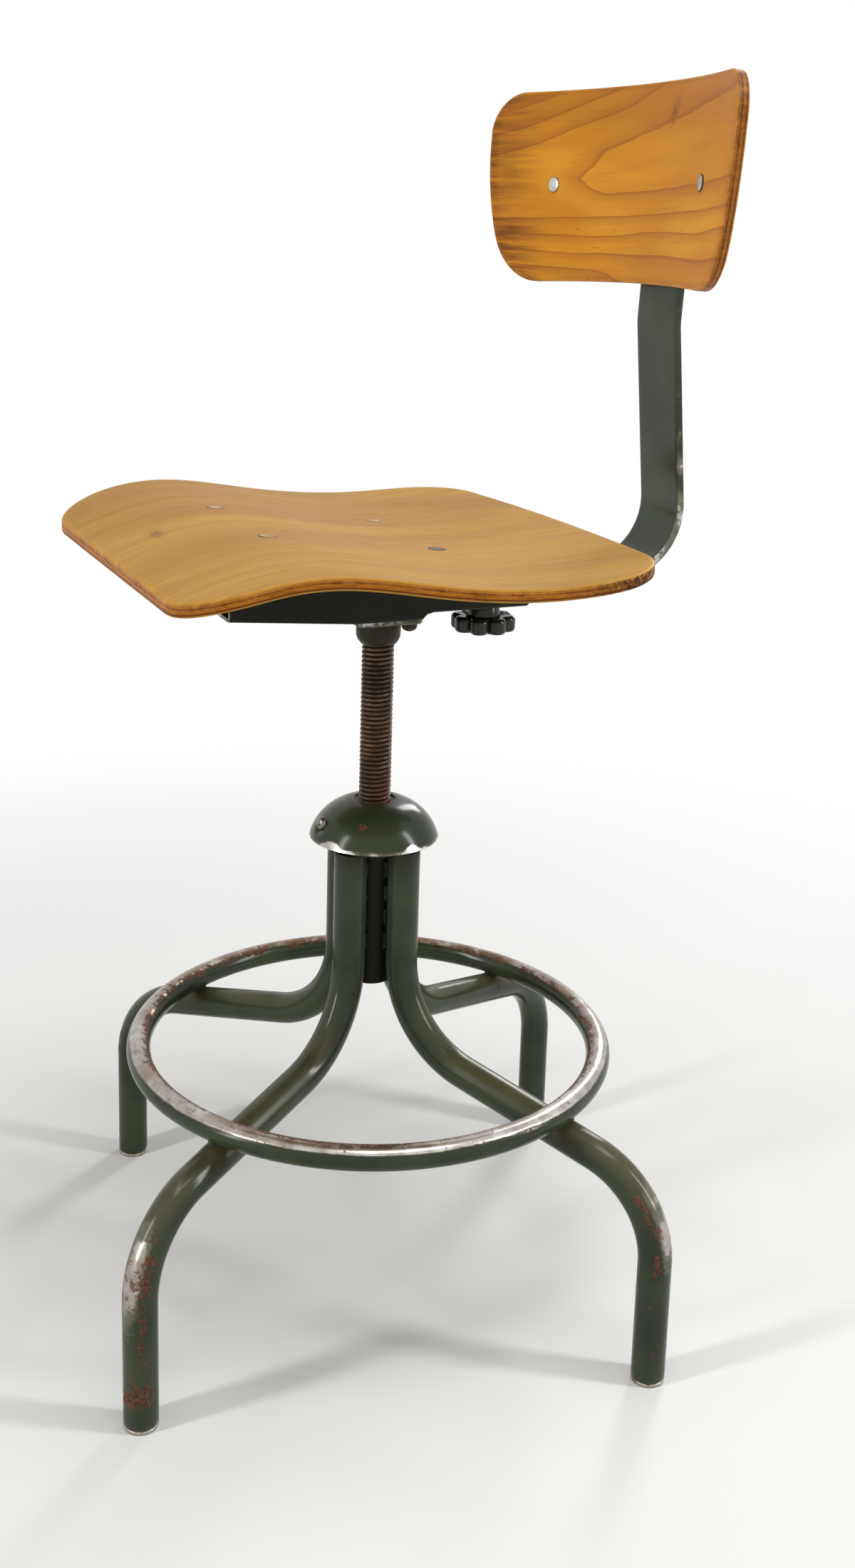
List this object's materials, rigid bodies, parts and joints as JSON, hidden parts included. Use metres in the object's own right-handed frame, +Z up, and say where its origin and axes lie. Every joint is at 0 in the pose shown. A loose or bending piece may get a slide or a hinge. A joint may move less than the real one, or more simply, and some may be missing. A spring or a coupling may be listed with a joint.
{
  "type": "machinist stool",
  "caption": "Machinist stool with bent tube legs, foot ring, screw-lift swivel seat of moulded plywood and an adjustable plywood backrest.",
  "frame": {"origin": "on the floor, at the axis of the seat screw", "axes": "+Z up, the sitter faces -Y and the backrest is on the +Y side, the sitter's left is +X"},
  "size_m": [0.479, 0.4893, 0.9483],
  "materials": {
    "machine_paint": "satin",
    "dark_paint": "satin",
    "foot_steel": "matte",
    "screw_steel": "matte",
    "bright_steel": "satin",
    "seat_ply": "satin",
    "back_ply": "satin"
  },
  "bodies": {
    "base": {"leg_1": "machine_paint", "leg_2": "machine_paint", "leg_3": "machine_paint", "leg_4": "machine_paint", "foot_caps": "foot_steel", "foot_ring": "machine_paint", "ring_welds": "machine_paint", "column_tube": "machine_paint", "column_welds": "machine_paint", "head_block": "screw_steel", "dome_cap": "machine_paint", "dome_screw": "bright_steel"},
    "lift_washer": {"stop_washer": "screw_steel"},
    "seat": {"seat_screw": "screw_steel", "screw_end_nut": "screw_steel", "screw_plate": "dark_paint", "plate_bolts": "dark_paint", "plate_nuts": "dark_paint", "seat_channel": "dark_paint", "seat_panel": "seat_ply", "seat_bolts": "bright_steel", "seat_nuts": "bright_steel", "clamp_bolt": "bright_steel", "clamp_plate": "bright_steel"},
    "clamp_washer": {"knob_washer": "bright_steel"},
    "knob": {"clamp_knob": "dark_paint"},
    "back": {"back_bar": "machine_paint", "back_strap": "machine_paint", "strap_rivets": "bright_steel", "backrest_panel": "back_ply", "backrest_bolts": "bright_steel", "backrest_nuts": "bright_steel"}
  },
  "joints": [
    {"name": "seat_rise", "type": "slide", "parent": "base", "child": "lift_washer", "axis": [0, 0, 1], "range_m": [-0.1179, 0.078]},
    {"name": "seat_turn", "type": "hinge", "parent": "lift_washer", "child": "seat", "pos_m": [0, 0, 0.4], "axis": [0, 0, 1], "range_deg": [-11700, 7740]},
    {"name": "back_slide", "type": "slide", "parent": "seat", "child": "back", "axis": [0, 1, 0], "range_m": [-0.02, 0.02]},
    {"name": "knob_travel", "type": "slide", "parent": "seat", "child": "clamp_washer", "axis": [0, 0, 1], "range_m": [-0.00238, 0]},
    {"name": "knob_turn", "type": "hinge", "parent": "clamp_washer", "child": "knob", "pos_m": [0, 0.089, 0.535], "axis": [0, 0, 1], "range_deg": [-540, 0]}
  ],
  "couplings": [
    {"joint": "seat_turn", "follows": "seat_rise", "rad_per_m": 1731.6},
    {"joint": "knob_turn", "follows": "knob_travel", "rad_per_m": 3957.9}
  ]
}
